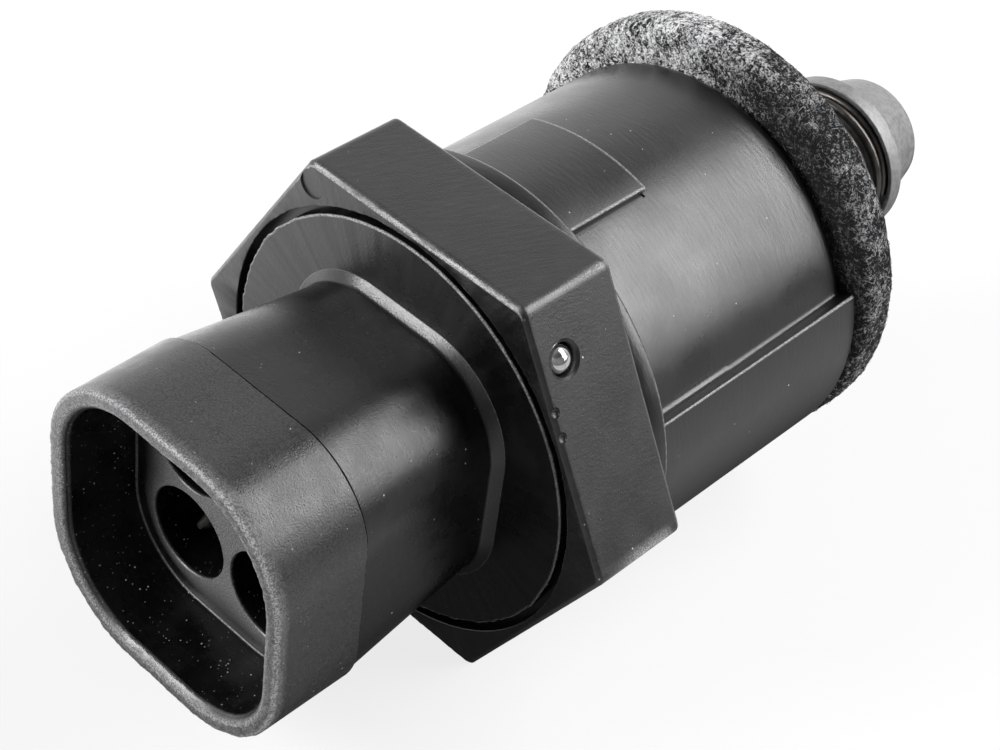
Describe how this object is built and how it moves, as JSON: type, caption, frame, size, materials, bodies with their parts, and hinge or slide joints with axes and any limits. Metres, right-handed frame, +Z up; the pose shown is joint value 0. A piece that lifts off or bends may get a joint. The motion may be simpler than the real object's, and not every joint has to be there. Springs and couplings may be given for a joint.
{
  "type": "idle air control valve",
  "caption": "Stepper-driven idle air valve: hexagonal plastic housing with a square sealed connector, felt gasket and a spring-loaded tapered pintle.",
  "frame": {"origin": "on the valve's axis, at the rear face of the hexagon, where the round collar starts", "axes": "+X along the axis from the connector to the pintle, +Z up, square to the upper flat of the hexagon"},
  "size_m": [0.081, 0.0414, 0.0372],
  "materials": {
    "housing_plastic": "satin glass-filled moulding",
    "connector_plastic": "satin moulding",
    "bright_steel": "polished",
    "seal_rubber": "matt",
    "motor_steel": "zinc plated sheet",
    "bronze": "sintered",
    "bobbin_plastic": "natural moulding",
    "copper_wire": "enamelled",
    "cast_metal": "matt as cast",
    "hub_plastic": "satin",
    "ferrite": "matt, magnet",
    "screw_steel": "plain",
    "spring_steel": "oiled wire",
    "felt": "grey and black fibres",
    "tinned_brass": "tin plated"
  },
  "bodies": {
    "housing": {"hex_housing": "housing_plastic", "connector_shell": "connector_plastic", "sealing_ball": "bright_steel", "connector_seal": "seal_rubber", "rear_plate": "motor_steel", "rear_bush": "bronze", "rear_stator_cup": "motor_steel", "rear_pole_plate": "motor_steel", "rear_bobbin": "bobbin_plastic", "rear_winding": "copper_wire", "front_pole_plate": "motor_steel", "front_bobbin": "bobbin_plastic", "front_winding": "copper_wire", "front_stator_cup": "motor_steel", "bearing_carrier": "cast_metal", "bearing_outer_race": "bright_steel", "guide_bush": "hub_plastic", "pintle_spring": "spring_steel", "terminal_1": "tinned_brass", "terminal_2": "tinned_brass", "terminal_3": "tinned_brass", "terminal_4": "tinned_brass"},
    "rotor": {"rotor_hub": "hub_plastic", "rotor_magnet": "ferrite", "bearing_inner_race": "bright_steel", "bearing_balls": "bright_steel", "bearing_cage": "bobbin_plastic"},
    "pintle": {"lead_screw": "screw_steel", "pintle_cap": "cast_metal"},
    "felt": {"felt_gasket": "felt"}
  },
  "joints": [
    {"name": "rotor_spin", "type": "hinge", "parent": "housing", "child": "rotor", "pos_m": [0, 0, 0], "axis": [1, 0, 0], "range_deg": [-2340, 360]},
    {"name": "pintle_slide", "type": "slide", "parent": "housing", "child": "pintle", "axis": [1, 0, 0], "range_m": [-0.0065, 0.001], "deforming": ["pintle_spring"]},
    {"name": "felt_shift", "type": "slide", "parent": "housing", "child": "felt", "axis": [0, 0, 1], "range_m": [-0.0026, 0]}
  ],
  "couplings": [
    {"joint": "pintle_slide", "follows": "rotor_spin", "m_per_rad": 0.00015915}
  ]
}
